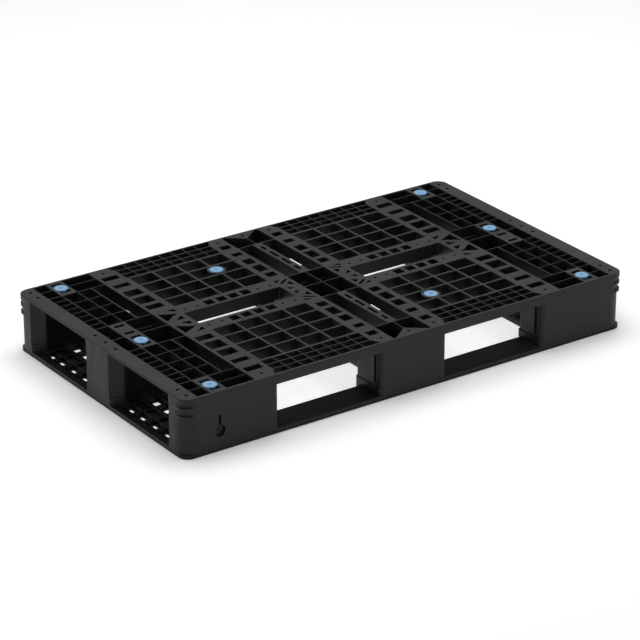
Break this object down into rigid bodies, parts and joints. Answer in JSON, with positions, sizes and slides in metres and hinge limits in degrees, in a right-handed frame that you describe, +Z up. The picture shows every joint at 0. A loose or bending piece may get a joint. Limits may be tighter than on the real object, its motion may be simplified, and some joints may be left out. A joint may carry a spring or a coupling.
{
  "type": "plastic pallet",
  "caption": "Moulded plastic transport pallet with a ribbed open deck, hollow legs, bottom runners for four-way fork entry and rubber anti-slip grommets.",
  "frame": {"origin": "centre of the underside, where the bottom strips meet the floor", "axes": "+X along the long side, +Y along the short side, +Z up from the floor to the deck"},
  "size_m": [1.2, 0.7, 0.1408],
  "materials": {
    "deck_plastic": "black recycled plastic, satin, lightly scuffed",
    "grommet_rubber": "grey-blue soft rubber, matte"
  },
  "bodies": {
    "root": {"top_deck": "deck_plastic", "bottom_deck": "deck_plastic", "grommet_corner_left_front": "grommet_rubber", "grommet_corner_left_rear": "grommet_rubber", "grommet_corner_right_front": "grommet_rubber", "grommet_corner_right_rear": "grommet_rubber", "grommet_end_left": "grommet_rubber", "grommet_end_right": "grommet_rubber", "grommet_grid_left": "grommet_rubber", "grommet_grid_right": "grommet_rubber"}
  },
  "joints": []
}
